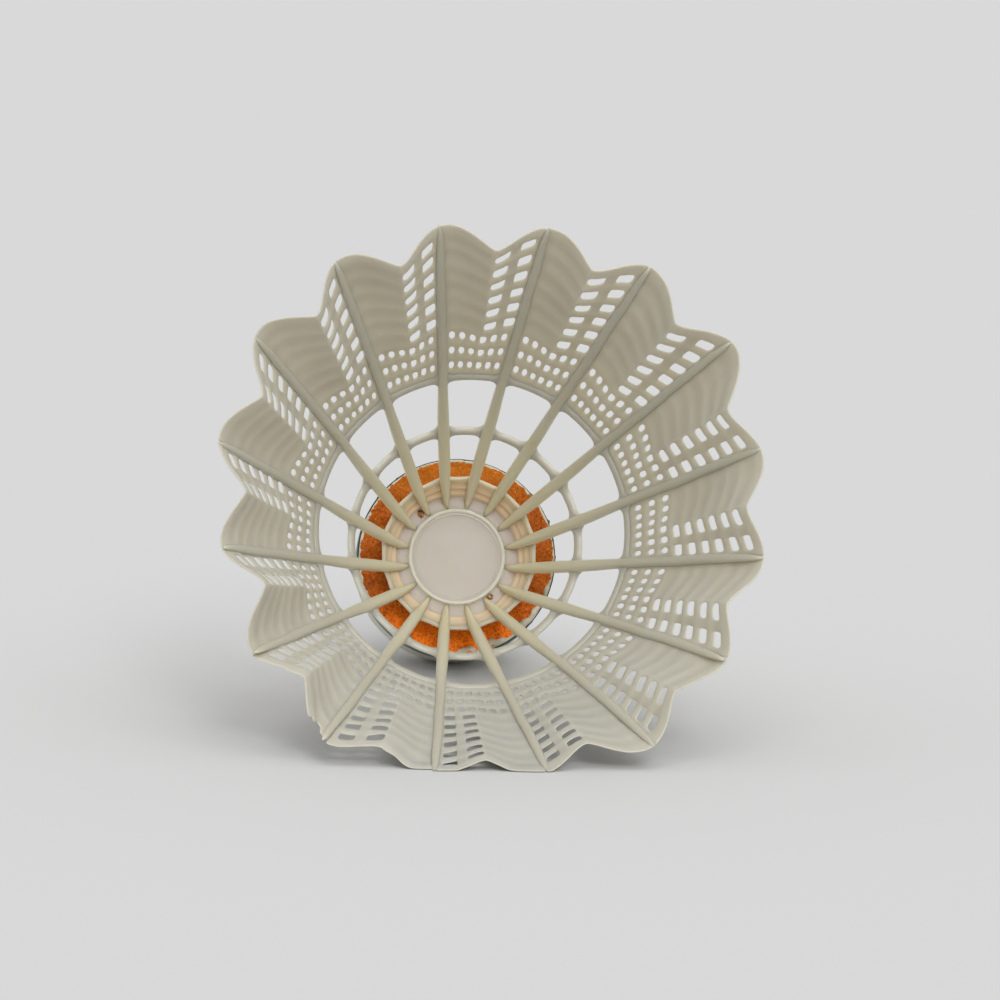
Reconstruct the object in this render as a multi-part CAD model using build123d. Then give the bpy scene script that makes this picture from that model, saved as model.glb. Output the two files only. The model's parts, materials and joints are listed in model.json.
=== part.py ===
"""Badminton shuttlecock with a moulded nylon skirt, lying on its side.

Everything is built upright about the local Z axis, with the cork base below z = 0
and the open rim above it. The finished pieces are then laid down, so that the
shuttlecock rests on the dome of its base and on two lobes of its rim.
"""
from build123d import *
from math import asin, atan2, cos, degrees, hypot, pi, radians, sin
import os

# Skirt: ribs and rim, in millimetres. z = 0 is the face of the hub disc.
RIB_COUNT = 16
SECTOR = 360 / RIB_COUNT
FIRST_RIB_ANGLE = 90 - SECTOR / 2
RIM_Z = 61.5
TIP_RADIUS = 33.7
SHOULDER_Z = 5.0
SHOULDER_RADIUS = 10.9
SHOULDER_BOW = 0.022
RIB_CHAMFER = 0.25

# Hoops that tie the ribs together.
LOWER_HOOP_Z = 15.0
UPPER_HOOP_Z = 28.0
HOOP_THICKNESS = 0.8
HOOP_WIDTH = 1.0
GUSSET_REACH = 1.2
GUSSET_RADIUS = 1.1
GUSSET_SIDE = 0.1

# Stations up a rib: height, radial depth and width across.
RIB_STATIONS = (
    (-0.3, 3.3, 0.7),
    (2.0, 2.4, 1.0),
    (SHOULDER_Z, 1.95, 1.3),
    (LOWER_HOOP_Z, 1.45, 1.55),
    (UPPER_HOOP_Z, 1.2, 1.25),
    (RIM_Z, 0.85, 1.1),
)

# Net panels between the ribs, from the upper hoop to the rim. Cells are given as
# fractions of the way from rib to rib.
PANEL_THICKNESS = 0.42
PANEL_INSET = 0.15
FOLD_DEPTH = 2.7
FOLD_SHARPNESS = 1.2
FOLD_POINTS = (0.0, 0.22, 0.5, 0.78, 1.0)
RIM_BAND = 1.5
NET_ROWS = 9
FINE_ROWS = 3
STRAND = 1.6
FIRST_CELL = 0.11
CELL_PITCH = 0.14
CELL_SPAN = 0.08
CELL_COUNT = 6
OPEN_CELLS = ((0.55, 0.70), (0.80, 0.935))
CUTTER_DEPTH = 5.0

# Hub: a hollow plug, closed by a disc, inside a stepped collar. The steps are given
# as (distance outside the pocket, fraction of the collar's height).
DISC_RADIUS = 5.9
DISC_THICKNESS = 1.0
LIP_RADIUS = 6.4
LIP_HEIGHT = 0.35
POCKET_RADIUS = 7.9
POCKET_Z = -0.1
COLLAR_STEPS = ((0.15, 0.30), (0.60, 0.35), (0.80, 0.65), (1.25, 0.70), (1.60, 1.00))
COLLAR_RADIUS = 10.0
COLLAR_FOOT_RADIUS = 9.3
COLLAR_HEIGHT = 4.0
PLUG_RADIUS = 6.2
PLUG_WALL = 1.0

# Base: cork core, white skin, coloured band and the ring of glue.
BASE_TOP_Z = -0.5
BASE_HEIGHT = 22.5
BORE_DEPTH = 8.0
COVER_RADIUS = 12.8
COVER_THICKNESS = 0.45
COVER_STANDOFF = 0.3
BAND_THICKNESS = 0.2
BAND_WIDTH = 4.0
BAND_DROP = 0.3
GLUE_THICKNESS = 0.3
GLUE_GAP = 0.1

CORK_RADIUS = COVER_RADIUS - COVER_THICKNESS
DOME_CENTRE_Z = BASE_TOP_Z - BASE_HEIGHT + COVER_RADIUS


def turned(shape, sectors):
    """The shape turned clockwise, seen from the open end, by a number of sectors."""
    return Rot(Z=-sectors * SECTOR) * shape


def revolve_outline(points):
    """A closed outline of (radius, z) points, turned about the Z axis."""
    outline = Polyline(*[(radius, 0, z) for radius, z in points], close=True)
    return revolve(make_face(outline), Axis.Z)


def rib_outer(z):
    """Radius of the ribs' outer edges: straight above the shoulder, bowed out below it."""
    slope = (TIP_RADIUS - SHOULDER_RADIUS) / (RIM_Z - SHOULDER_Z)
    straight = SHOULDER_RADIUS + slope * (z - SHOULDER_Z)
    return straight + SHOULDER_BOW * max(0.0, SHOULDER_Z - z) ** 2


def make_rib():
    """One rib along the +X side, with eased edges, lofted through its stations."""
    sections = []
    for z, depth, width in RIB_STATIONS:
        outline = chamfer(Rectangle(depth, width).vertices(), RIB_CHAMFER)
        sections.append(Pos(rib_outer(z) - depth / 2, 0, z) * outline)
    return loft(sections, ruled=True)


def make_hoop(z_middle, rib_width):
    """A conical band flush with the ribs' outer edges, widened by a gusset at each rib."""
    low = z_middle - HOOP_WIDTH / 2 - GUSSET_REACH
    high = z_middle + HOOP_WIDTH / 2 + GUSSET_REACH
    band = revolve_outline([
        (rib_outer(low), low),
        (rib_outer(high), high),
        (rib_outer(high) - HOOP_THICKNESS, high),
        (rib_outer(low) - HOOP_THICKNESS, low),
    ])
    gap = 2 * pi * rib_outer(z_middle) / RIB_COUNT - rib_width - 2 * GUSSET_SIDE
    height = 4 * GUSSET_REACH
    windows = []
    for side in (-1, 1):
        z = z_middle + side * (HOOP_WIDTH + height) / 2
        facing = Plane(origin=(0, 0, z), x_dir=(0, 1, 0), z_dir=(1, 0, 0))
        outline = facing * RectangleRounded(gap, height, GUSSET_RADIUS)
        window = Rot(Z=FIRST_RIB_ANGLE) * extrude(outline, rib_outer(z) + CUTTER_DEPTH)
        windows += [turned(window, index + 0.5) for index in range(RIB_COUNT)]
    return band - windows


def fold(t):
    """Depth of the fold across a panel, from 0 at the ribs to 1 in the sharp valley."""
    return 1 - sin(pi / 2 * abs(2 * t - 1)) ** FOLD_SHARPNESS


def panel_radius(z, t):
    """Radius of a panel's outer face at height z and fraction t of the way between ribs."""
    rise = (z - UPPER_HOOP_Z) / (RIM_Z - UPPER_HOOP_Z)
    return rib_outer(z) - PANEL_INSET - FOLD_DEPTH * rise * fold(t)


def panel_section(z):
    """Thin folded strip from one rib's middle to the next, at height z."""
    outer = []
    inner = []
    for t in FOLD_POINTS:
        angle = radians(SECTOR * (0.5 - t))
        direction = Vector(cos(angle), sin(angle))
        outer.append(direction * panel_radius(z, t))
        inner.append(direction * (panel_radius(z, t) - PANEL_THICKNESS))
    outline = Polyline(*outer, *reversed(inner), close=True)
    return Pos(0, 0, z) * make_face(outline)


def cell_spans(row):
    """Open cells of one row of the net, as fractions of the way from rib to rib.

    The rows by the hoop are even. Further out, the first half of the panel is closed
    and the second half has two wide cells.
    """
    if row >= FINE_ROWS:
        return OPEN_CELLS
    starts = [FIRST_CELL + cell * CELL_PITCH for cell in range(CELL_COUNT)]
    return [(start, start + CELL_SPAN) for start in starts]


def make_cells():
    """Cutters for every open cell of one panel."""
    foot = UPPER_HOOP_Z + HOOP_WIDTH
    pitch = (RIM_Z - RIM_BAND - foot) / NET_ROWS
    cutters = []
    for row in range(NET_ROWS):
        z = foot + (row + 0.5) * pitch
        for start, end in cell_spans(row):
            t = (start + end) / 2
            radius = panel_radius(z, t)
            width = 2 * pi * radius / RIB_COUNT * (end - start)
            block = Pos(radius, 0, z) * Box(CUTTER_DEPTH, width, pitch - STRAND)
            cutters.append(Rot(Z=SECTOR * (0.5 - t)) * block)
    return cutters


def make_panel():
    """One folded net panel centred on the +X side, still running into its ribs and hoop."""
    sheet = loft([panel_section(UPPER_HOOP_Z), panel_section(RIM_Z)], ruled=True)
    return sheet - make_cells()


def make_hub():
    """Disc, lip, stepped collar and hollow plug, as one revolved solid."""
    plug_end = BASE_TOP_Z - BORE_DEPTH
    steps = [(POCKET_RADIUS + out, rise * COLLAR_HEIGHT) for out, rise in COLLAR_STEPS]
    return revolve_outline([
        (0, 0),
        (DISC_RADIUS, 0),
        (DISC_RADIUS, LIP_HEIGHT),
        (LIP_RADIUS, LIP_HEIGHT),
        (LIP_RADIUS, POCKET_Z),
        (POCKET_RADIUS, POCKET_Z),
        *steps,
        (COLLAR_RADIUS, COLLAR_HEIGHT),
        (COLLAR_FOOT_RADIUS, BASE_TOP_Z),
        (PLUG_RADIUS, BASE_TOP_Z),
        (PLUG_RADIUS, plug_end),
        (PLUG_RADIUS - PLUG_WALL, plug_end),
        (PLUG_RADIUS - PLUG_WALL, -DISC_THICKNESS),
        (0, -DISC_THICKNESS),
    ])


def make_dome(radius, top):
    """Round-nosed base shape of the given radius, with its flat top at the height top."""
    nose_z = DOME_CENTRE_Z - radius
    on_nose = (radius * sin(pi / 4), 0, DOME_CENTRE_Z - radius * cos(pi / 4))
    outline = [
        Line((0, 0, top), (radius, 0, top)),
        Line((radius, 0, top), (radius, 0, DOME_CENTRE_Z)),
        ThreePointArc((radius, 0, DOME_CENTRE_Z), on_nose, (0, 0, nose_z)),
        Line((0, 0, nose_z), (0, 0, top)),
    ]
    return revolve(make_face(outline), Axis.Z)


def make_tube(outer, inner, low, high):
    """Plain round tube between two heights."""
    return revolve_outline([(inner, low), (outer, low), (outer, high), (inner, high)])


def make_cork():
    """Cork core with the bore that takes the hub's plug."""
    bore = Pos(0, 0, BASE_TOP_Z - BORE_DEPTH / 2) * Cylinder(PLUG_RADIUS, BORE_DEPTH)
    return make_dome(CORK_RADIUS, BASE_TOP_Z) - bore


def make_cover():
    """Thin skin over the cork, standing a little above the cork's top face."""
    top = BASE_TOP_Z + COVER_STANDOFF
    return make_dome(COVER_RADIUS, top) - make_dome(CORK_RADIUS, top)


def resting_tilt():
    """Slope of the axis when the dome and two lobes of the rim touch the floor."""
    half = radians(SECTOR / 2)
    tip_flat = RIB_STATIONS[-1][2] / 2 - RIB_CHAMFER
    drop = TIP_RADIUS * cos(half) + tip_flat * sin(half)
    run = RIM_Z - DOME_CENTRE_Z
    return degrees(atan2(drop, run) - asin(COVER_RADIUS / hypot(drop, run)))


lower_hoop = make_hoop(LOWER_HOOP_Z, RIB_STATIONS[3][2])
upper_hoop = make_hoop(UPPER_HOOP_Z, RIB_STATIONS[4][2])
hub = make_hub()
whole_rib = Rot(Z=FIRST_RIB_ANGLE) * make_rib()
first_rib = whole_rib - hub - lower_hoop - upper_hoop
whole_panel = Rot(Z=FIRST_RIB_ANGLE - SECTOR / 2) * make_panel()
first_panel = whole_panel - whole_rib - turned(whole_rib, 1) - upper_hoop
band_top = BASE_TOP_Z - BAND_DROP
glue_top = BASE_TOP_Z + GLUE_THICKNESS

pieces = {
    "hub_plug": hub,
    "lower_hoop": lower_hoop,
    "upper_hoop": upper_hoop,
    "cork_core": make_cork(),
    "base_cover": make_cover(),
    "speed_band": make_tube(
        COVER_RADIUS + BAND_THICKNESS, COVER_RADIUS, band_top - BAND_WIDTH, band_top
    ),
    "adhesive_ring": make_tube(
        CORK_RADIUS, COLLAR_FOOT_RADIUS + GLUE_GAP, BASE_TOP_Z, glue_top
    ),
}
for index in range(RIB_COUNT):
    pieces[f"rib_{index + 1:02d}"] = turned(first_rib, index)
    pieces[f"net_panel_{index + 1:02d}"] = turned(first_panel, index)

# Lay the shuttlecock down: open end towards -Y, lowest points at z = 0, centred in X and Y.
tilt = resting_tilt()
laid = {name: Rot(X=90 - tilt) * piece for name, piece in pieces.items()}
box = Compound(children=[Compound(piece.solids()) for piece in laid.values()]).bounding_box()
shift = Pos(-(box.min.X + box.max.X) / 2, -(box.min.Y + box.max.Y) / 2, -box.min.Z)

os.makedirs("parts", exist_ok=True)
for name, piece in laid.items():
    export_step(shift * piece, f"parts/{name}.step")

print("resting tilt", round(tilt, 4), "shift", shift.position, "size", box.size)
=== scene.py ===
"""Badminton shuttlecock with a moulded nylon skirt, lying on its side and seen into its open end."""

import json
from math import cos, pi, radians, sin

import bmesh
import bpy
from mathutils import Matrix, Vector, noise


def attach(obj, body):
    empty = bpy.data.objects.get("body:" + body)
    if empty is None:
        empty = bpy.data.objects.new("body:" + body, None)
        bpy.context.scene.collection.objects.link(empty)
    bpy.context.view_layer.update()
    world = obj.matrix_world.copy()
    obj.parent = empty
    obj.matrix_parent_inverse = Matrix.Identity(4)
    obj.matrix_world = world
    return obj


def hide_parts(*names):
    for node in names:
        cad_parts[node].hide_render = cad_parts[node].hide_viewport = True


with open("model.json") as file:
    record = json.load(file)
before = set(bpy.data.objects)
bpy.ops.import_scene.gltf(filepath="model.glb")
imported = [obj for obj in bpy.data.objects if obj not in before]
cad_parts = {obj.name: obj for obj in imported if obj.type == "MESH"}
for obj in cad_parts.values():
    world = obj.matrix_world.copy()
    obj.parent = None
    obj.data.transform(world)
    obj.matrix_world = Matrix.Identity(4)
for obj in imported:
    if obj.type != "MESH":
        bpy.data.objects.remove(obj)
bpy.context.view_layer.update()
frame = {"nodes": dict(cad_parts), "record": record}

# ---------------------------------------------------------------- camera
# A long lens a little above the open end, looking almost along the shuttlecock's axis.
# The camera leans about a degree, so the object looks turned clockwise.
mounts = {mount["name"]: mount for mount in frame["record"]["mounts"]}
hub_point = Vector(mounts["hub_disc"]["pos_m"])
axis = Vector(mounts["hub_disc"]["axis"]).normalized()
across = Vector((1, 0, 0))
# Pieces are modelled upright in millimetres, with the hub's face at z = 0 and the rim up.
# This matrix lays them down in the row frame.
lay = Matrix((across, axis.cross(across), axis)).transposed().to_4x4() @ Matrix.Scale(0.001, 4)
lay = Matrix.Translation(hub_point) @ lay

CAMERA_AZIMUTH = radians(-4.3)
CAMERA_ELEVATION = radians(8.3)
CAMERA_DISTANCE = 0.771
CAMERA_LEAN = radians(1.3)
AIM_SHIFT = Vector((0.0010, -0.0002, 0))
RIM_HEIGHT = 61.5
back = Vector((
    sin(CAMERA_AZIMUTH) * cos(CAMERA_ELEVATION),
    -cos(CAMERA_AZIMUTH) * cos(CAMERA_ELEVATION),
    sin(CAMERA_ELEVATION),
))
looking = (-back).to_track_quat("-Z", "Y").to_matrix() @ Matrix.Rotation(CAMERA_LEAN, 3, "Z")
rim_centre = lay @ Vector((0, 0, RIM_HEIGHT))
aim = rim_centre + looking @ AIM_SHIFT
camera_data = bpy.data.cameras.new("camera")
camera_data.lens = 230
camera_data.sensor_width = 36
camera_data.clip_start = 0.05
camera_data.clip_end = 50
camera = bpy.data.objects.new("camera", camera_data)
camera.matrix_world = Matrix.Translation(aim + back * CAMERA_DISTANCE) @ looking.to_4x4()
bpy.context.scene.collection.objects.link(camera)
bpy.context.scene.camera = camera


# ---------------------------------------------------------------- floor and light
# A plain, pale grey matt floor that runs on into the sky with no visible horizon. The light is an
# even sky with a broad soft top light, and a narrower one from the front that gives the gloss.
def new_material(name, roughness):
    """Empty node material with one Principled shader; returns the material and the shader."""
    material = bpy.data.materials.new(name)
    material.use_nodes = True
    shader = material.node_tree.nodes["Principled BSDF"]
    shader.inputs["Roughness"].default_value = roughness
    return material, shader


FLOOR_LEVEL = 0.6939
SUN_SHARE = 0.28
SUN_TILT = radians(40)
SUN_TURN = radians(6)
SUN_BREADTH = radians(50)
GLINT_POWER = 0.80
GLINT_TILT = radians(60)
GLINT_TURN = radians(14)
GLINT_BREADTH = radians(14)
FLOOR_SIZE = 60.0
floor_material, floor_shader = new_material("floor_grey", 1.0)
floor_shader.inputs["Specular IOR Level"].default_value = 0.0
# The floor gives back just the sky's own level under all three lights, which hides the horizon.
sun_light = FLOOR_LEVEL * SUN_SHARE / (1 - SUN_SHARE)
glint_light = GLINT_POWER * cos(GLINT_TILT) * cos(GLINT_TURN) / pi
albedo = FLOOR_LEVEL / (FLOOR_LEVEL + sun_light + glint_light)
floor_shader.inputs["Base Color"].default_value = (albedo, albedo, albedo, 1)

floor_mesh = bpy.data.meshes.new("floor")
half = FLOOR_SIZE / 2
floor_corners = [(-half, -half, 0), (half, -half, 0), (half, half, 0), (-half, half, 0)]
floor_mesh.from_pydata(floor_corners, [], [(0, 1, 2, 3)])
floor = bpy.data.objects.new("floor", floor_mesh)
floor_mesh.materials.append(floor_material)
bpy.context.scene.collection.objects.link(floor)

world = bpy.data.worlds.new("even_sky")
world.use_nodes = True
world.node_tree.nodes["Background"].inputs["Color"].default_value = (FLOOR_LEVEL,) * 3 + (1,)
bpy.context.scene.world = world
bpy.context.scene.view_settings.view_transform = "Standard"
sun_data = bpy.data.lights.new("top_light", "SUN")
sun_data.angle = SUN_BREADTH
sun_data.energy = pi * sun_light / cos(SUN_TILT)
sun = bpy.data.objects.new("top_light", sun_data)
sun.rotation_euler = (SUN_TILT, SUN_TURN, 0)
bpy.context.scene.collection.objects.link(sun)
glint_data = bpy.data.lights.new("glint_light", "SUN")
glint_data.angle = GLINT_BREADTH
glint_data.energy = GLINT_POWER
glint = bpy.data.objects.new("glint_light", glint_data)
glint.rotation_euler = (GLINT_TILT, GLINT_TURN, 0)
bpy.context.scene.collection.objects.link(glint)


# ---------------------------------------------------------------- hub
# Moulded nylon hub: a hollow plug pressed into the cork, closed by a thin disc inside a
# raised lip, and round it a shallow pocket with a flared, stepped collar. One moulding with the ribs.
FLOOR_GAP = 0.00002


def add_piece(name, mesh, material, slot_name, *nodes):
    """Lays an upright millimetre mesh down, pressed flat where it meets the floor, as a piece."""
    mesh.transform(lay)
    for vertex in mesh.vertices:
        vertex.co.z = max(vertex.co.z, FLOOR_GAP)
    mesh.materials.clear()
    mesh.materials.append(material)
    mesh.polygons.foreach_set("use_smooth", [True] * len(mesh.polygons))
    mesh.name = name
    piece = bpy.data.objects.new(name, mesh)
    bpy.context.scene.collection.objects.link(piece)
    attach(piece, "root")
    if nodes:
        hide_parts(*nodes)
    return piece


def lathe(outline, segments, shape):
    """Closed ring or solid turned from (radius, z) points; shape moves each point by its angle."""
    shell = bmesh.new()
    rings = []
    for radius, z in outline:
        if radius < 1e-6:
            rings.append([shell.verts.new((0, 0, z))])
            continue
        ring = []
        for step in range(segments):
            angle = 2 * pi * step / segments
            r, height = shape(radius, z, angle)
            ring.append(shell.verts.new((r * cos(angle), r * sin(angle), height)))
        rings.append(ring)
    pairs = list(zip(rings, rings[1:]))
    if len(rings[0]) > 1:
        pairs.append((rings[-1], rings[0]))
    for one, other in pairs:
        for step in range(segments):
            after = (step + 1) % segments
            corners = [one[step % len(one)], one[after % len(one)]]
            corners += [other[after % len(other)], other[step % len(other)]]
            unique = list(dict.fromkeys(corners))
            if len(unique) > 2:
                shell.faces.new(unique)
    bmesh.ops.recalc_face_normals(shell, faces=shell.faces)
    mesh = bpy.data.meshes.new("turned")
    shell.to_mesh(mesh)
    shell.free()
    return mesh


def ease(piece, width):
    """Rounds a piece's sharp edges, as on a moulding, with the width in millimetres."""
    bevel = piece.modifiers.new("eased_edges", "BEVEL")
    bevel.width = width / 1000
    bevel.segments = 2
    bevel.limit_method = "ANGLE"
    bevel.angle_limit = radians(28)


def link(tree, value, socket):
    """Feeds a socket from another socket, or sets it to a plain value."""
    if isinstance(value, bpy.types.NodeSocket):
        tree.links.new(value, socket)
    else:
        socket.default_value = value


def blend_colours(tree, factor, first, second, mode="MIX"):
    """Mix of two colours. A Mix node's colour sockets are its seventh and eighth."""
    node = tree.nodes.new("ShaderNodeMix")
    node.data_type = "RGBA"
    node.blend_type = mode
    link(tree, factor, node.inputs["Factor"])
    link(tree, first, node.inputs[6])
    link(tree, second, node.inputs[7])
    return node.outputs[2]


def ramp(tree, value, low, high, to_low=0.0, to_high=1.0):
    """Smooth step of a value from one range to another."""
    node = tree.nodes.new("ShaderNodeMapRange")
    node.interpolation_type = "SMOOTHSTEP"
    link(tree, value, node.inputs["Value"])
    ends = {"From Min": low, "From Max": high, "To Min": to_low, "To Max": to_high}
    for name, number in ends.items():
        node.inputs[name].default_value = number
    return node.outputs[0]


def calc(tree, operation, *values):
    """One Math node; returns its result."""
    node = tree.nodes.new("ShaderNodeMath")
    node.operation = operation
    for value, socket in zip(values, node.inputs):
        link(tree, value, socket)
    return node.outputs[0]


def noise_texture(tree, scale, detail=3.0, roughness=0.55):
    """Noise through the object's own space, with the scale in grains per metre."""
    place = tree.nodes.new("ShaderNodeTexCoord")
    texture = tree.nodes.new("ShaderNodeTexNoise")
    tree.links.new(place.outputs["Object"], texture.inputs["Vector"])
    texture.inputs["Scale"].default_value = scale
    texture.inputs["Detail"].default_value = detail
    texture.inputs["Roughness"].default_value = roughness
    return texture.outputs["Fac"]


def bump(tree, shader, height, strength, distance):
    """Fine relief on a shader, with the distance in millimetres."""
    node = tree.nodes.new("ShaderNodeBump")
    node.inputs["Strength"].default_value = strength
    node.inputs["Distance"].default_value = distance / 1000
    tree.links.new(height, node.inputs["Height"])
    tree.links.new(node.outputs["Normal"], shader.inputs["Normal"])


def nylon(name, pale, deep, roughness, glow):
    """Translucent moulded nylon, clouded from one tone to another, with a soft grain."""
    material, shader = new_material(name, roughness)
    tree = material.node_tree
    cloud = ramp(tree, noise_texture(tree, 90, 2), 0.35, 0.68)
    tree.links.new(blend_colours(tree, cloud, pale + (1,), deep + (1,)), shader.inputs["Base Color"])
    grain = noise_texture(tree, 700, 1)
    matt = ramp(tree, grain, 0.3, 0.7, roughness - 0.02, roughness + 0.03)
    tree.links.new(matt, shader.inputs["Roughness"])
    bump(tree, shader, grain, 0.03, 0.02)
    shader.inputs["Subsurface Weight"].default_value = glow
    shader.inputs["Subsurface Radius"].default_value = (1.0, 0.8, 0.5)
    shader.inputs["Subsurface Scale"].default_value = 0.0011
    return material


def axis_place(tree):
    """Distance from the shuttlecock's axis, and height along it above the hub's face, in metres."""
    from_hub = tree.nodes.new("ShaderNodeVectorMath")
    from_hub.operation = "SUBTRACT"
    tree.links.new(tree.nodes.new("ShaderNodeTexCoord").outputs["Object"], from_hub.inputs[0])
    from_hub.inputs[1].default_value = hub_point
    sideways = tree.nodes.new("ShaderNodeVectorMath")
    sideways.operation = "CROSS_PRODUCT"
    upwards = tree.nodes.new("ShaderNodeVectorMath")
    upwards.operation = "DOT_PRODUCT"
    for node in (sideways, upwards):
        tree.links.new(from_hub.outputs[0], node.inputs[0])
        node.inputs[1].default_value = axis
    length = tree.nodes.new("ShaderNodeVectorMath")
    length.operation = "LENGTH"
    tree.links.new(sideways.outputs[0], length.inputs[0])
    return length.outputs["Value"], upwards.outputs["Value"]


LIP_RADIUS = 6.32
POCKET_RADIUS = 7.9
COLLAR_RADIUS = 10.25
PLUG_RADIUS = 6.2
PLUG_END = -8.5
PLUG_WALL = 1
BASE_TOP = -0.5
RIB_COUNT = 16
SECTOR = 360 / RIB_COUNT
FIRST_RIB = 90 - SECTOR / 2


def scallop(radius, z, angle):
    """Draws the collar in between the ribs, more towards its edge, so that it looks chorded."""
    reach = max(0.0, min(1.0, (radius - POCKET_RADIUS) / (COLLAR_RADIUS - POCKET_RADIUS)))
    from_middle = (angle - radians(FIRST_RIB)) % radians(SECTOR) - radians(SECTOR / 2)
    chord = cos(radians(SECTOR / 2)) / cos(from_middle)
    wander = 0.12 * noise.noise(Vector((4 * cos(angle), 4 * sin(angle), 3.7)))
    return radius * (1 + 1.25 * (chord - 1) * reach) + wander * reach, z + 0.8 * wander * reach


# From the disc's centre over the lip, pocket and stepped collar, and down inside the cork.
hub_outline = [
    (0, 0.02), (3.0, 0.01), (5.40, 0.0), (5.48, 0.07), (5.57, 0.09), (5.65, 0.05), (5.74, 0.08),
    (5.82, 0.22), (5.95, 0.34), (6.10, 0.38), (6.25, 0.30), (LIP_RADIUS, 0.10),
    (LIP_RADIUS + 0.05, -0.05), (7.5, -0.1), (POCKET_RADIUS, 0.0), (8.02, 0.55), (8.10, 1.15),
    (8.50, 1.38), (8.70, 1.50),
    (8.78, 2.45), (9.24, 2.72), (9.40, 2.85), (9.70, 3.92), (9.84, 4.0), (10.1, 4.0),
    (COLLAR_RADIUS, 3.88), (10.12, 3.3), (9.3, BASE_TOP),
    (PLUG_RADIUS, BASE_TOP), (PLUG_RADIUS, PLUG_END), (PLUG_RADIUS - PLUG_WALL, PLUG_END),
    (PLUG_RADIUS - PLUG_WALL, -PLUG_WALL), (0, -PLUG_WALL),
]
hub_nylon = nylon("hub_nylon", (0.585, 0.535, 0.475), (0.57, 0.52, 0.46), 0.46, 0.9)
# The lip is paler than the disc, and the collar's rim is greyer. The pocket and the collar's inner
# slope are painted warmer and amber, a painted warm glow for light that the amber glue sends through
# the collar's thin wall and into the pocket. Each zone starts at a distance from the axis.
tree = hub_nylon.node_tree
shader = tree.nodes["Principled BSDF"]
shader.inputs["Subsurface Scale"].default_value = 0.0024
off_axis, up_axis = axis_place(tree)
tone = shader.inputs["Base Color"].links[0].from_socket
tones_and_painted_glow = (
    (0.0057, 0.0059, (0.67, 0.635, 0.55, 1)),
    # The next two zones are painted warm glow: the pocket, and the collar's inner slope in amber.
    (0.0064, 0.0066, (0.64, 0.54, 0.46, 1)),
    (0.0076, 0.0082, (0.74, 0.59, 0.41, 1)),
    (0.0084, 0.0098, (0.47, 0.43, 0.345, 1)),
)
for start, end, colour in tones_and_painted_glow:
    tone = blend_colours(tree, ramp(tree, off_axis, start, end), tone, colour)
tree.links.new(tone, shader.inputs["Base Color"])
# The lip is glossier than the rest. The pocket's floor is painted with a faint warm glow, as if a
# little light came up through it.
lip_starts = ramp(tree, off_axis, 0.0053, 0.0055)
lip = calc(tree, "MULTIPLY", lip_starts, ramp(tree, off_axis, 0.0061, 0.0063, 1.0, 0.0))
matt = shader.inputs["Roughness"].links[0].from_socket
tree.links.new(calc(tree, "MULTIPLY_ADD", lip, -0.30, matt), shader.inputs["Roughness"])
pocket_starts = ramp(tree, off_axis, 0.0064, 0.0068)
painted_pocket_glow = calc(tree, "MULTIPLY", pocket_starts, ramp(tree, off_axis, 0.0080, 0.0088, 1.0, 0.0))
shader.inputs["Specular IOR Level"].default_value = 0.35
# Painted glow: the pocket gives off a little warm light of its own, though it is no lamp.
shader.inputs["Emission Color"].default_value = (1.0, 0.64, 0.36, 1)
tree.links.new(calc(tree, "MULTIPLY", painted_pocket_glow, 0.06), shader.inputs["Emission Strength"])
hub = add_piece("hub", lathe(hub_outline, 224, scallop), hub_nylon, "hub_nylon", "hub_plug")
ease(hub, 0.07)


# ---------------------------------------------------------------- ribs
# Sixteen tapered nylon ribs, moulded with the hub, from a thin root beside the lip to the rim.
# Their edges are rounded by the mould; use has bent some of them in or out a little at the rim.
def new_tree(name, **sizes):
    """Geometry tree with a geometry input, named number inputs and one geometry output."""
    tree = bpy.data.node_groups.new(name, "GeometryNodeTree")
    tree.interface.new_socket(name="Geometry", in_out="INPUT", socket_type="NodeSocketGeometry")
    for label, default in sizes.items():
        socket = tree.interface.new_socket(name=label, in_out="INPUT", socket_type="NodeSocketFloat")
        socket.default_value = default
    tree.interface.new_socket(name="Material", in_out="INPUT", socket_type="NodeSocketMaterial")
    tree.interface.new_socket(name="Geometry", in_out="OUTPUT", socket_type="NodeSocketGeometry")
    return tree, tree.nodes.new("NodeGroupInput").outputs


def end_tree(tree, geometry, material):
    """Realizes what the tree made, sets its material and sends it out."""
    real = tree.nodes.new("GeometryNodeRealizeInstances")
    tree.links.new(geometry, real.inputs[0])
    painted = tree.nodes.new("GeometryNodeSetMaterial")
    tree.links.new(real.outputs[0], painted.inputs["Geometry"])
    tree.links.new(material, painted.inputs["Material"])
    tree.links.new(painted.outputs[0], tree.nodes.new("NodeGroupOutput").inputs[0])


def curve_of(tree, value, points, top):
    """A value from 0 to 1 through a smooth curve of (value, result) points, its two ends first."""
    node = tree.nodes.new("ShaderNodeFloatCurve")
    line = node.mapping.curves[0]
    for index, (where, result) in enumerate(points):
        if index < 2:
            line.points[index].location = (where, result / top)
        else:
            line.points.new(where, result / top)
    node.mapping.update()
    link(tree, value, node.inputs["Value"])
    return calc(tree, "MULTIPLY", node.outputs[0], top)


def outer_edge(tree, z):
    """Radius of the ribs' outer edges at a height: straight, and bowed out below the shoulder."""
    straight = calc(tree, "MULTIPLY_ADD", z, RIB_SLOPE, SHOULDER_RADIUS - RIB_SLOPE * SHOULDER_HEIGHT)
    below = calc(tree, "MAXIMUM", calc(tree, "SUBTRACT", SHOULDER_HEIGHT, z), 0.0)
    return calc(tree, "MULTIPLY_ADD", calc(tree, "MULTIPLY", below, below), SHOULDER_BOW, straight)


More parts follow.
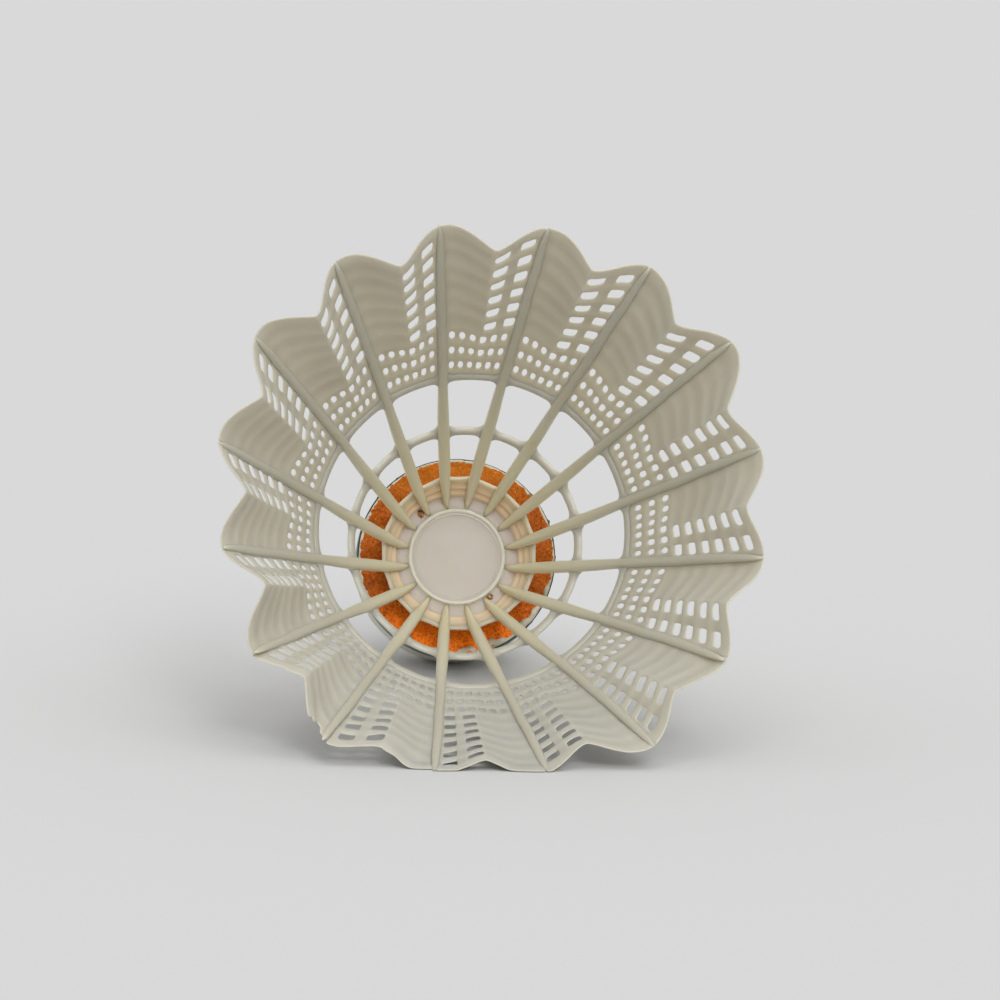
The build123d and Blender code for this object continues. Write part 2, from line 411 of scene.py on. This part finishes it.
def field_noise(tree, scale, seed):
    """Noise from about -0.5 to 0.5 through the upright space, in grains per millimetre."""
    texture = tree.nodes.new("ShaderNodeTexNoise")
    texture.noise_dimensions = "4D"
    link(tree, seed, texture.inputs["W"])
    texture.inputs["Scale"].default_value = scale
    texture.inputs["Detail"].default_value = 1.0
    return texture, calc(tree, "SUBTRACT", texture.outputs["Fac"], 0.5)


def grow(name, tree, mesh, **values):
    """Runs a tree on a mesh with these inputs and returns the plain mesh that it makes."""
    holder = bpy.data.objects.new(name, mesh)
    bpy.context.scene.collection.objects.link(holder)
    modifier = holder.modifiers.new("tree", "NODES")
    modifier.node_group = tree
    for item in tree.interface.items_tree:
        if item.in_out == "INPUT" and item.name in values:
            modifier[item.identifier] = values[item.name]
    graph = bpy.context.evaluated_depsgraph_get()
    made = bpy.data.meshes.new_from_object(holder.evaluated_get(graph))
    holder.modifiers.remove(modifier)
    bpy.data.objects.remove(holder)
    return made


TIP_RADIUS = 33.7
SHOULDER_HEIGHT = 5.0
SHOULDER_RADIUS = 10.9
RIB_SLOPE = (TIP_RADIUS - SHOULDER_RADIUS) / (RIM_HEIGHT - SHOULDER_HEIGHT)
SHOULDER_BOW = 0.022
RIB_FOOT = -0.3
NET_FOOT = 28.0
CORNER_ROUNDING = 0.94
TIP_SPLAY = 0.45
SWAY = 0.5

tree, given = new_tree("tapered_rib", Angle=0.0, Bend=0.0, Lean=0.0, Seed=0.0)
bar = tree.nodes.new("GeometryNodeMeshCylinder")
bar.inputs["Vertices"].default_value = 24
bar.inputs["Side Segments"].default_value = 62
bar.inputs["Radius"].default_value = 1.0
bar.inputs["Depth"].default_value = 1.0
here = tree.nodes.new("ShaderNodeSeparateXYZ")
tree.links.new(tree.nodes.new("GeometryNodeInputPosition").outputs[0], here.inputs[0])
along = calc(tree, "ADD", here.outputs["Z"], 0.5)
# Depth and width along the rib, in millimetres, from its root at 0 to its tip at 1.
rib_depths = (
    (0, 3.3), (1, 0.16), (0.037, 2.4), (0.086, 1.95), (0.25, 1.5), (0.46, 1.2), (0.93, 0.8),
)
rib_widths = (
    (0, 0.85), (1, 0.24), (0.037, 1.15), (0.086, 1.4), (0.25, 1.55), (0.46, 1.25), (0.93, 0.95),
)
depth = curve_of(tree, along, rib_depths, 4.0)
width = curve_of(tree, along, rib_widths, 4.0)
z = calc(tree, "MULTIPLY_ADD", along, RIM_HEIGHT - RIB_FOOT, RIB_FOOT)


def rounded_box(tree, value):
    """Turns a circle's coordinate into a rounded rectangle's."""
    size = calc(tree, "POWER", calc(tree, "ABSOLUTE", value), CORNER_ROUNDING)
    return calc(tree, "MULTIPLY", size, calc(tree, "SIGN", value))


def rise_above_hoop(tree, z):
    """0 up to the upper hoop, and from there to 1 at the rim."""
    share = calc(tree, "DIVIDE", calc(tree, "SUBTRACT", z, NET_FOOT), RIM_HEIGHT - NET_FOOT)
    return calc(tree, "MAXIMUM", share, 0.0)


middle = calc(tree, "SUBTRACT", outer_edge(tree, z), calc(tree, "MULTIPLY", depth, 0.5))
half_depth = calc(tree, "MULTIPLY", depth, 0.5)
radial = calc(tree, "MULTIPLY", rounded_box(tree, here.outputs["X"]), half_depth)
half_width = calc(tree, "MULTIPLY", width, 0.5)
side = calc(tree, "MULTIPLY", rounded_box(tree, here.outputs["Y"]), half_width)
rise = rise_above_hoop(tree, z)
splay = calc(tree, "ADD", given["Bend"], TIP_SPLAY)
bent = calc(tree, "MULTIPLY", calc(tree, "MULTIPLY", rise, rise), splay)
leant = calc(tree, "MULTIPLY", calc(tree, "MULTIPLY", along, along), given["Lean"])
texture, wander = field_noise(tree, 0.09, given["Seed"])
low = tree.nodes.new("ShaderNodeCombineXYZ")
tree.links.new(z, low.inputs["Z"])
tree.links.new(low.outputs[0], texture.inputs["Vector"])
sway = calc(tree, "MULTIPLY", calc(tree, "MULTIPLY", wander, along), SWAY)
placed = tree.nodes.new("ShaderNodeCombineXYZ")
tree.links.new(calc(tree, "ADD", calc(tree, "ADD", middle, radial), bent), placed.inputs["X"])
tree.links.new(calc(tree, "ADD", calc(tree, "ADD", side, leant), sway), placed.inputs["Y"])
tree.links.new(z, placed.inputs["Z"])
shaped = tree.nodes.new("GeometryNodeSetPosition")
tree.links.new(bar.outputs["Mesh"], shaped.inputs["Geometry"])
tree.links.new(placed.outputs[0], shaped.inputs["Position"])
turned = tree.nodes.new("GeometryNodeTransform")
tree.links.new(shaped.outputs[0], turned.inputs["Geometry"])
spin = tree.nodes.new("ShaderNodeCombineXYZ")
tree.links.new(calc(tree, "RADIANS", given["Angle"]), spin.inputs["Z"])
tree.links.new(spin.outputs[0], turned.inputs["Rotation"])
end_tree(tree, turned.outputs[0], given["Material"])

# How far use has pushed each rib's tip out, and sideways, in millimetres.
RIB_BENDS = (-0.2, 0.1, 0.7, -0.8, -0.6, 0.0, 1.6, -0.1, -0.1, 1.6, 0.1, -1.2, -0.5, 0.5, 0.2, -0.1)
RIB_LEANS = (0.2, 0.1, -0.1, 0.0, 0.3, 0.4, 0.2, -0.3, 0.2, 0.5, 0.0, 0.1, -0.2, 0.1, 0.0, 0.2)
skirt_nylon = nylon("skirt_nylon", (0.70, 0.66, 0.485), (0.665, 0.62, 0.43), 0.36, 0.6)
# The ribs are yellowest at the hub, where they are thick, and greyer towards the rim.
paint = skirt_nylon.node_tree
shader = paint.nodes["Principled BSDF"]
off_axis, up_axis = axis_place(paint)
plain = shader.inputs["Base Color"].links[0].from_socket
greyer = blend_colours(paint, ramp(paint, up_axis, 0.0, 0.045), plain, (0.49, 0.47, 0.385, 1))
paint.links.new(greyer, shader.inputs["Base Color"])
for index in range(RIB_COUNT):
    made = grow(
        "rib", tree, bpy.data.meshes.new("empty"), Angle=FIRST_RIB - SECTOR * index,
        Bend=RIB_BENDS[index], Lean=-RIB_LEANS[index], Seed=float(index), Material=skirt_nylon,
    )
    add_piece(f"rib_bar_{index + 1:02d}", made, skirt_nylon, "skirt_nylon", f"rib_{index + 1:02d}")


# ---------------------------------------------------------------- hoops
# Two thin nylon hoops tie the ribs together at about a quarter and under half of the skirt's
# length. They are moulded with the ribs and widen into a round fillet on both sides of each.
LOWER_HOOP = 15.0
HOOP_STEPS = 36
HOOP_EDGE = 0.28
tree, given = new_tree(
    "gusseted_hoop", Height=LOWER_HOOP, Width=1.0, Thickness=0.8, Fillet=1.2, RibWidth=1.5,
)
radius = outer_edge(tree, given["Height"])
ring = tree.nodes.new("GeometryNodeCurvePrimitiveCircle")
ring.inputs["Resolution"].default_value = RIB_COUNT * HOOP_STEPS
half_thickness = calc(tree, "MULTIPLY", given["Thickness"], 0.5)
tree.links.new(calc(tree, "SUBTRACT", radius, half_thickness), ring.inputs["Radius"])
section = tree.nodes.new("GeometryNodeCurvePrimitiveQuadrilateral")
tree.links.new(given["Thickness"], section.inputs["Width"])
tree.links.new(given["Width"], section.inputs["Height"])
eased = tree.nodes.new("GeometryNodeFilletCurve")
eased.mode = "POLY"
eased.inputs["Count"].default_value = 4
eased.inputs["Radius"].default_value = HOOP_EDGE
eased.inputs["Limit Radius"].default_value = True
tree.links.new(section.outputs[0], eased.inputs["Curve"])
band = tree.nodes.new("GeometryNodeCurveToMesh")
tree.links.new(ring.outputs["Curve"], band.inputs["Curve"])
tree.links.new(eased.outputs[0], band.inputs["Profile Curve"])
here = tree.nodes.new("ShaderNodeSeparateXYZ")
position = tree.nodes.new("GeometryNodeInputPosition")
tree.links.new(position.outputs[0], here.inputs[0])
turn = calc(tree, "ARCTAN2", here.outputs["Y"], here.outputs["X"])
sectors = calc(tree, "DIVIDE", calc(tree, "SUBTRACT", turn, radians(FIRST_RIB)), radians(SECTOR))
off_rib = calc(tree, "ABSOLUTE", calc(tree, "SUBTRACT", sectors, calc(tree, "ROUND", sectors)))
arc = calc(tree, "MULTIPLY", calc(tree, "MULTIPLY", off_rib, radians(SECTOR)), radius)
beside = calc(tree, "SUBTRACT", arc, calc(tree, "MULTIPLY", given["RibWidth"], 0.5))
left = calc(tree, "SUBTRACT", given["Fillet"], calc(tree, "MAXIMUM", beside, 0.0))
left = calc(tree, "MAXIMUM", left, 0.0)
fillet_squared = calc(tree, "POWER", given["Fillet"], 2.0)
squared = calc(tree, "SUBTRACT", fillet_squared, calc(tree, "POWER", left, 2.0))
flare = calc(tree, "SUBTRACT", given["Fillet"], calc(tree, "SQRT", squared))
spread = calc(tree, "DIVIDE", flare, calc(tree, "MULTIPLY", given["Width"], 0.5))
lift = calc(tree, "MULTIPLY", here.outputs["Z"], calc(tree, "ADD", spread, 1.0))
length = tree.nodes.new("ShaderNodeVectorMath")
length.operation = "LENGTH"
flat = tree.nodes.new("ShaderNodeCombineXYZ")
tree.links.new(here.outputs["X"], flat.inputs["X"])
tree.links.new(here.outputs["Y"], flat.inputs["Y"])
tree.links.new(flat.outputs[0], length.inputs[0])
reach = calc(tree, "ADD", length.outputs["Value"], calc(tree, "MULTIPLY", lift, RIB_SLOPE))
placed = tree.nodes.new("ShaderNodeCombineXYZ")
tree.links.new(calc(tree, "MULTIPLY", reach, calc(tree, "COSINE", turn)), placed.inputs["X"])
tree.links.new(calc(tree, "MULTIPLY", reach, calc(tree, "SINE", turn)), placed.inputs["Y"])
tree.links.new(calc(tree, "ADD", lift, given["Height"]), placed.inputs["Z"])
shaped = tree.nodes.new("GeometryNodeSetPosition")
tree.links.new(band.outputs[0], shaped.inputs["Geometry"])
tree.links.new(placed.outputs[0], shaped.inputs["Position"])
end_tree(tree, shaped.outputs[0], given["Material"])
hoop_nylon = nylon("hoop_nylon", (0.51, 0.495, 0.43), (0.47, 0.455, 0.385), 0.36, 0.6)
for name, height, rib_width in (("lower_hoop", LOWER_HOOP, 1.5), ("upper_hoop", NET_FOOT, 1.25)):
    made = grow(
        name, tree, bpy.data.meshes.new("empty"),
        Height=height, RibWidth=rib_width, Material=hoop_nylon,
    )
    add_piece(f"{name}_band", made, hoop_nylon, "skirt_nylon", name)


# ---------------------------------------------------------------- net panels
# A moulded nylon net fills each gap from the upper hoop to the rim, folded inwards between the
# ribs. Its first rows are even; further out one half is closed and the other has wide cells.
NET_ROWS = 9
EVEN_ROWS = 3
NET_START = 29.0
RIM_BAND = 1.5
STRAND = 1.95
FIRST_CELL = 0.11
CELL_PITCH = 0.14
CELL_SPAN = 0.08
CELLS_IN_ROW = 6
OPEN_CELLS = ((0.55, 0.70), (0.80, 0.935))
CELL_ROW_PITCH = (RIM_HEIGHT - RIM_BAND - NET_START) / NET_ROWS
VALLEY_SKEW = 0.06
FOLD_SHAPE = 1.15
BELLY = 0.95
NET_INSET = 0.18
CURL = -2.2
NET_THICKNESS = 0.0003


def open_spans(row):
    """Open cells of one row, as fractions of the way from rib to rib."""
    if row >= EVEN_ROWS:
        return OPEN_CELLS
    starts = [FIRST_CELL + CELL_PITCH * cell for cell in range(CELLS_IN_ROW)]
    return [(start, start + CELL_SPAN) for start in starts]


def net_sheet(torn):
    """The net of one gap laid flat: x runs from rib to rib as 0 to 1, and y is the height."""
    heights = [NET_FOOT]
    for row in range(NET_ROWS):
        middle = NET_START + (row + 0.5) * CELL_ROW_PITCH
        half_cell = (CELL_ROW_PITCH - STRAND) / 2
        heights += [middle - half_cell, middle + half_cell]
    heights += [RIM_HEIGHT - 1.1, RIM_HEIGHT]
    edges = {0.0, 0.035, 0.965, 1.0}
    for row in (0, EVEN_ROWS):
        edges |= {round(edge, 4) for span in open_spans(row) for edge in span}
    edges = sorted(edges)
    sheet = bmesh.new()
    grid = [[sheet.verts.new((x, y, 0)) for x in edges] for y in heights]
    for level, (low, high) in enumerate(zip(grid, grid[1:])):
        row = (level - 1) // 2
        is_cell_row = level % 2 == 1 and row < NET_ROWS
        for column in range(len(edges) - 1):
            x = (edges[column] + edges[column + 1]) / 2
            y = (heights[level] + heights[level + 1]) / 2
            is_open = is_cell_row and any(start < x < end for start, end in open_spans(row))
            if is_open or any(a < x < b and y > height for a, b, height in torn):
                continue
            sheet.faces.new((low[column], high[column], high[column + 1], low[column + 1]))
    for vertex in [v for v in sheet.verts if not v.link_faces]:
        sheet.verts.remove(vertex)
    mesh = bpy.data.meshes.new("flat_net")
    sheet.to_mesh(mesh)
    sheet.free()
    return mesh


tree, given = new_tree(
    "folded_net", First=0.0, Fold=2.7, BendBefore=0.0, BendAfter=0.0, Crumple=0.0,
)
here = tree.nodes.new("ShaderNodeSeparateXYZ")
position = tree.nodes.new("GeometryNodeInputPosition")
tree.links.new(position.outputs[0], here.inputs[0])
share = here.outputs["X"]
z = here.outputs["Y"]
rise = rise_above_hoop(tree, z)
# Each panel folds inwards along a valley just off its middle, and bellies out beside the ribs.
swing = calc(tree, "MULTIPLY_ADD", share, 2.0, -1.0 - 2 * VALLEY_SKEW)
lobe = calc(tree, "SINE", calc(tree, "MULTIPLY", calc(tree, "ABSOLUTE", swing), pi / 2))
fold = calc(tree, "SUBTRACT", 1.0, calc(tree, "POWER", lobe, FOLD_SHAPE))
inward = calc(tree, "MULTIPLY", calc(tree, "MULTIPLY", fold, given["Fold"]), rise)
ease_in = tree.nodes.new("ShaderNodeMapRange")
ease_in.interpolation_type = "SMOOTHSTEP"
tree.links.new(share, ease_in.inputs["Value"])
tree.links.new(given["BendBefore"], ease_in.inputs["To Min"])
tree.links.new(given["BendAfter"], ease_in.inputs["To Max"])
pushed = calc(tree, "MULTIPLY", ease_in.outputs[0], calc(tree, "MULTIPLY", rise, rise))
belly = calc(tree, "MULTIPLY", calc(tree, "POWER", lobe, 2.0), BELLY)
belly = calc(tree, "MULTIPLY", belly, calc(tree, "MULTIPLY", rise, rise))
radius = calc(tree, "ADD", calc(tree, "SUBTRACT", outer_edge(tree, z), NET_INSET), belly)
radius = calc(tree, "ADD", calc(tree, "SUBTRACT", radius, inward), pushed)
degrees_here = calc(tree, "SUBTRACT", given["First"], calc(tree, "MULTIPLY", share, SECTOR))
turn = calc(tree, "RADIANS", degrees_here)
on_cone = tree.nodes.new("ShaderNodeCombineXYZ")
cone = outer_edge(tree, z)
tree.links.new(calc(tree, "MULTIPLY", cone, calc(tree, "COSINE", turn)), on_cone.inputs["X"])
tree.links.new(calc(tree, "MULTIPLY", cone, calc(tree, "SINE", turn)), on_cone.inputs["Y"])
tree.links.new(z, on_cone.inputs["Z"])
# Wear: broad ripples and fine creases, both growing towards the rim. The numbers are fixed seeds.
broad, ripple = field_noise(tree, 0.11, 2.3)
tree.links.new(on_cone.outputs[0], broad.inputs["Vector"])
fine, crinkle = field_noise(tree, 0.34, 7.9)
tree.links.new(on_cone.outputs[0], fine.inputs["Vector"])
worn = calc(tree, "MULTIPLY", calc(tree, "MULTIPLY", ripple, 1.5), calc(tree, "POWER", rise, 1.5))
creased = calc(tree, "MULTIPLY", crinkle, calc(tree, "MULTIPLY_ADD", given["Crumple"], 3.0, 0.35))
creased = calc(tree, "MULTIPLY", creased, calc(tree, "POWER", rise, 2.0))
radius = calc(tree, "ADD", radius, calc(tree, "ADD", worn, creased))
curl = calc(tree, "MULTIPLY", given["Crumple"], CURL)
curl = calc(tree, "MULTIPLY", curl, calc(tree, "POWER", rise, 6.0))
placed = tree.nodes.new("ShaderNodeCombineXYZ")
tree.links.new(calc(tree, "MULTIPLY", radius, calc(tree, "COSINE", turn)), placed.inputs["X"])
tree.links.new(calc(tree, "MULTIPLY", radius, calc(tree, "SINE", turn)), placed.inputs["Y"])
rim_wave = calc(tree, "MULTIPLY", calc(tree, "MULTIPLY", ripple, 1.2), calc(tree, "POWER", rise, 4.0))
wave = calc(tree, "MINIMUM", rim_wave, 0.3)
tree.links.new(calc(tree, "ADD", calc(tree, "ADD", z, curl), wave), placed.inputs["Z"])
noted = tree.nodes.new("GeometryNodeStoreNamedAttribute")
noted.data_type = "FLOAT_VECTOR"
noted.inputs["Name"].default_value = "net_place"
tree.links.new(given["Geometry"], noted.inputs["Geometry"])
tree.links.new(position.outputs[0], noted.inputs["Value"])
shaped = tree.nodes.new("GeometryNodeSetPosition")
tree.links.new(noted.outputs[0], shaped.inputs["Geometry"])
tree.links.new(placed.outputs[0], shaped.inputs["Position"])
end_tree(tree, shaped.outputs[0], given["Material"])

# Depth of each fold at the rim, in millimetres, and how crumpled each panel's edge is.
FOLD_DEPTHS = (2.8, 2.9, 2.2, 1.7, 2.1, 2.1, 2.2, 1.5, 1.7, 2.9, 3.6, 2.7, 3.1, 3.3, 3.0, 2.9)
CRUMPLES = {5: 0.15, 8: 0.5, 9: 0.45, 10: 0.1}
# The rim is torn beside one rib: (from, to, above this height), in the flat net's terms.
TEARS = {9: ((0.10, 0.20, 58.5), (0.0, 0.24, 60.3))}
net_nylon = nylon("net_nylon", (0.485, 0.475, 0.415), (0.45, 0.44, 0.385), 0.5, 0.7)
# The rings of the net stand a little proud, and their crests are also painted paler, a painted
# highlight, which shows as faint bands where it is closed.
paint = net_nylon.node_tree
shader = paint.nodes["Principled BSDF"]
net_place = paint.nodes.new("ShaderNodeAttribute")
net_place.attribute_name = "net_place"
flat = paint.nodes.new("ShaderNodeSeparateXYZ")
paint.links.new(net_place.outputs["Vector"], flat.inputs[0])
above_start = calc(paint, "SUBTRACT", flat.outputs["Y"], NET_START)
rings = calc(paint, "MULTIPLY", above_start, 2 * pi / CELL_ROW_PITCH)
proud_rings_and_highlight = calc(paint, "MULTIPLY_ADD", calc(paint, "COSINE", rings), 0.5, 0.5)
plain = shader.inputs["Base Color"].links[0].from_socket
# Painted highlight: the proud rings are painted a paler tone.
painted_band_highlight = blend_colours(paint, calc(paint, "MULTIPLY", proud_rings_and_highlight, 0.16), plain, (0.62, 0.61, 0.55, 1))
paint.links.new(painted_band_highlight, shader.inputs["Base Color"])
grain = shader.inputs["Normal"].links[0].from_node
ridge = paint.nodes.new("ShaderNodeBump")
ridge.inputs["Strength"].default_value = 0.5
ridge.inputs["Distance"].default_value = 0.00018
paint.links.new(proud_rings_and_highlight, ridge.inputs["Height"])
paint.links.new(ridge.outputs[0], grain.inputs["Normal"])
for index in range(RIB_COUNT):
    made = grow(
        "net", tree, net_sheet(TEARS.get(index, ())), First=FIRST_RIB - SECTOR * index,
        Fold=FOLD_DEPTHS[index], BendBefore=RIB_BENDS[index],
        BendAfter=RIB_BENDS[(index + 1) % RIB_COUNT],
        Crumple=CRUMPLES.get(index, 0.0), Material=net_nylon,
    )
    node_name = f"net_panel_{index + 1:02d}"
    panel = add_piece(f"net_{index + 1:02d}", made, net_nylon, "net_nylon", node_name)
    thick = panel.modifiers.new("thickness", "SOLIDIFY")
    thick.thickness = NET_THICKNESS
    thick.offset = -1
    soft = panel.modifiers.new("rounded_strands", "SUBSURF")
    soft.levels = 2
    soft.render_levels = 2


# ---------------------------------------------------------------- glue
# The ring of hot-melt glue that fills the corner between the collar's foot and the base's edge:
# amber and grainy, with painted glints, and an uneven edge. Two dried specks lie in the hub's pocket.
GLUE_INNER = 9.35
GLUE_OUTER = 12.62


def lumpy(radius, z, angle):
    """Uneven surface and edge of set glue."""
    if z <= BASE_TOP:
        return radius, z
    at = Vector((radius * cos(angle), radius * sin(angle), 0))
    swell = 0.16 * noise.noise(at * 0.55) + 0.09 * noise.noise(at * 1.7) + 0.05 * noise.noise(at * 4.1)
    edge = max(0.0, (radius - 11.9) / 0.5)
    ragged = 0.14 * noise.noise(at * 1.1 + Vector((9, 0, 0))) + 0.16 * noise.noise(at * 3.1)
    return radius + edge * ragged, z + swell


amber, shader = new_material("amber_glue", 0.42)
tree = amber.node_tree
grains = ramp(tree, noise_texture(tree, 2600, 4, 0.75), 0.34, 0.66)
tone = blend_colours(tree, grains, (0.28, 0.046, 0.0010, 1), (0.55, 0.135, 0.003, 1))
# Painted light: the glue is painted brighter below the hub, to make up for the collar's shadow, and
# painted paler above it, where the light falls.
place = tree.nodes.new("ShaderNodeSeparateXYZ")
tree.links.new(tree.nodes.new("ShaderNodeTexCoord").outputs["Object"], place.inputs[0])
painted_light_below_hub = ramp(tree, place.outputs["Z"], hub_point.z - 0.011, hub_point.z - 0.003, 1.0, 0.0)
tone = blend_colours(tree, painted_light_below_hub, tone, (2.3, 2.1, 1.0, 1), "MULTIPLY")
painted_light_above_hub = ramp(tree, place.outputs["Z"], hub_point.z + 0.006, hub_point.z + 0.011, 0.0, 0.25)
tone = blend_colours(tree, painted_light_above_hub, tone, (0.78, 0.29, 0.012, 1))
spots = ramp(tree, noise_texture(tree, 2600, 2), 0.66, 0.72)
tone = blend_colours(tree, spots, tone, (0.15, 0.022, 0.002, 1))
# Painted glints: small pale flecks in the colour stand for highlights on the grains.
painted_glints = ramp(tree, noise_texture(tree, 4600, 1), 0.64, 0.72)
tone = blend_colours(tree, calc(tree, "MULTIPLY", painted_glints, 0.35), tone, (0.80, 0.50, 0.25, 1))
tree.links.new(tone, shader.inputs["Base Color"])
shader.inputs["Subsurface Weight"].default_value = 0.15
shader.inputs["Subsurface Radius"].default_value = (1.0, 0.35, 0.1)
shader.inputs["Subsurface Scale"].default_value = 0.0008
shader.inputs["Specular IOR Level"].default_value = 0.12
bump(tree, shader, noise_texture(tree, 3000, 3, 0.75), 0.8, 0.14)
glue_outline = [(GLUE_INNER, BASE_TOP), (GLUE_INNER, -0.15)]
glue_outline += [(GLUE_INNER + 0.25 * step, -0.15 - 0.004 * step) for step in range(1, 11)]
glue_outline += [(12.1, -0.14), (12.4, -0.10), (12.58, -0.18), (GLUE_OUTER, BASE_TOP)]
add_piece("glue_ring", lathe(glue_outline, 420, lumpy), amber, "amber_glue", "adhesive_ring")

dark_glue, shader = new_material("dark_glue", 0.25)
tree = dark_glue.node_tree
dried = ramp(tree, noise_texture(tree, 2500), 0.48, 0.62)
tone = blend_colours(tree, dried, (0.40, 0.17, 0.03, 1), (0.05, 0.02, 0.008, 1))
tree.links.new(tone, shader.inputs["Base Color"])
# Angle, distance from the axis and size of each drop; the first two run together.
specks = bmesh.new()
for angle, radius, size in ((130, 7.3, 0.44), (126, 7.65, 0.2), (-50, 6.75, 0.40)):
    spot = bmesh.ops.create_icosphere(specks, subdivisions=4, radius=size)["verts"]
    centre = Vector((radius * cos(radians(angle)), radius * sin(radians(angle)), -0.06))
    for vertex in spot:
        vertex.co *= 1 + 0.6 * noise.noise(vertex.co * 3.5 + centre)
        vertex.co.z *= 0.4
        vertex.co += centre
mesh = bpy.data.meshes.new("specks")
specks.to_mesh(mesh)
specks.free()
add_piece("glue_specks", mesh, dark_glue, "amber_glue")


# ---------------------------------------------------------------- base
# The round-nosed cork base wears a thin white skin, glued on, whose cut edge stands a little
# proud of the cork and is slightly ragged.
COVER_RADIUS = 12.8
SKIN = 0.35
DOME_CENTRE = -10.2
SKIN_EDGE = -0.2
FLAP_ANGLE = radians(62)
NOSE_START = -22


def ragged_edge(radius, z, angle):
    """Frays the skin's cut edge, folds it in at one flap and lets the skin lie uneven."""
    at = Vector((6 * cos(angle), 6 * sin(angle), z * 0.12))
    hem = max(0.0, min(1.0, (z + 1.2) / 1.0))
    fray = 0.22 * noise.noise(at * 1.3) + 0.16 * noise.noise(at * 4.4)
    unevenness = 0.05 * noise.noise(at * 0.8 + Vector((0, 5, 0))) - 0.03
    flap = max(0.0, noise.noise(at * 1.1 + Vector((4, 0, 8))) + 0.02)
    flap *= max(0.0, cos(angle + FLAP_ANGLE)) ** 2
    flap *= (radius < COVER_RADIUS - 0.2) * hem
    inwards = unevenness * (z > NOSE_START) - hem * 0.12 * abs(noise.noise(at * 3.3)) - 2.2 * flap
    return radius + inwards, z + hem * fray + 0.5 * min(1.0, 6 * flap)


def dome(radius):
    """Side and round nose of the base, from its edge down to its tip."""
    down = [(radius, z) for z in (SKIN_EDGE, -0.6, -1.2, -2.5, -5, -7.5)]
    turns = [radians(turn) for turn in range(0, 90, 5)]
    nose = [(radius * cos(turn), DOME_CENTRE - radius * sin(turn)) for turn in turns]
    return down + nose + [(0, DOME_CENTRE - radius)]


skin, shader = new_material("base_skin", 0.5)
tree = skin.node_tree
grime = ramp(tree, noise_texture(tree, 140, 5, 0.65), 0.45, 0.75)
tone = blend_colours(tree, grime, (0.72, 0.70, 0.60, 1), (0.55, 0.50, 0.38, 1))
off_axis, up_axis = axis_place(tree)
hem_tone = blend_colours(tree, grime, (0.62, 0.56, 0.42, 1), (0.34, 0.30, 0.20, 1))
tone = blend_colours(tree, ramp(tree, up_axis, -0.0009, -0.0006), tone, hem_tone)
tree.links.new(tone, shader.inputs["Base Color"])
leather = tree.nodes.new("ShaderNodeTexVoronoi")
leather.feature = "DISTANCE_TO_EDGE"
leather.inputs["Scale"].default_value = 2100
place = tree.nodes.new("ShaderNodeTexCoord")
tree.links.new(place.outputs["Object"], leather.inputs["Vector"])
bump(tree, shader, ramp(tree, leather.outputs["Distance"], 0.0, 0.16), 0.35, 0.04)
outer_side = dome(COVER_RADIUS)
inner_side = dome(COVER_RADIUS - SKIN)
cover_outline = list(reversed(outer_side)) + inner_side
add_piece("base_skin", lathe(cover_outline, 256, ragged_edge), skin, "base_skin", "base_cover")


# ---------------------------------------------------------------- speed tape
# A strip of dark green tape round the base, just under its edge, marks the speed. It is a little
# wrinkled, and its edge lifts in a few places.
BAND_TOP = -0.8
BAND_WIDTH = 4


def lifted(radius, z, angle):
    """Wrinkles the tape and lifts its edge here and there."""
    at = Vector((5 * cos(angle), 5 * sin(angle), z * 0.4))
    edge = max(0.0, (z + 1.6) / 0.8)
    lift = max(0.0, noise.noise(at * 2.9) - 0.38) * 1.1 * edge
    wrinkle = 0.015 * noise.noise(at * 3)
    outer = radius > COVER_RADIUS + 0.1
    return radius + 0.01 + outer * (lift + wrinkle), z + 0.10 * noise.noise(at * 1.9) * edge


band_green, shader = new_material("band_green", 0.35)
tree = band_green.node_tree
scuffs = ramp(tree, noise_texture(tree, 500), 0.4, 0.7)
tone = blend_colours(tree, scuffs, (0.008, 0.045, 0.033, 1), (0.012, 0.085, 0.062, 1))
tree.links.new(tone, shader.inputs["Base Color"])
band_foot = BAND_TOP - BAND_WIDTH
band_outline = [(COVER_RADIUS, band_foot), (COVER_RADIUS + 0.12, band_foot)]
band_outline += [(COVER_RADIUS + 0.14, band_foot + step * 0.5) for step in range(8)]
band_outline += [(COVER_RADIUS + 0.12, BAND_TOP), (COVER_RADIUS, BAND_TOP)]
add_piece("speed_tape", lathe(band_outline, 360, lifted), band_green, "band_green", "speed_band")


# ---------------------------------------------------------------- cork and finishes
# The cork of the base keeps its plain solid, because the skin and the glue hide it. Pressed cork
# is brown with darker pores. Each solid then takes the finish of the piece that stands for it.
cork, shader = new_material("cork", 0.85)
tree = cork.node_tree
cells = tree.nodes.new("ShaderNodeTexVoronoi")
cells.inputs["Scale"].default_value = 900
place = tree.nodes.new("ShaderNodeTexCoord")
tree.links.new(place.outputs["Object"], cells.inputs["Vector"])
granules = ramp(tree, cells.outputs["Distance"], 0.1, 0.7)
tone = blend_colours(tree, granules, (0.42, 0.24, 0.11, 1), (0.55, 0.36, 0.19, 1))
pores = ramp(tree, noise_texture(tree, 700, 4), 0.58, 0.70)
tree.links.new(blend_colours(tree, pores, tone, (0.16, 0.08, 0.035, 1)), shader.inputs["Base Color"])
bump(tree, shader, pores, 0.6, 0.1)
slots = {
    "cork": cork, "base_skin": skin, "band_green": band_green, "amber_glue": amber,
    "skirt_nylon": skirt_nylon, "net_nylon": net_nylon, "hub_nylon": hub_nylon,
}
for node in frame["nodes"].values():
    for index, material in enumerate(node.data.materials):
        for slot_name, made in slots.items():
            if material and material.name.startswith(slot_name) and material is not made:
                node.data.materials[index] = made
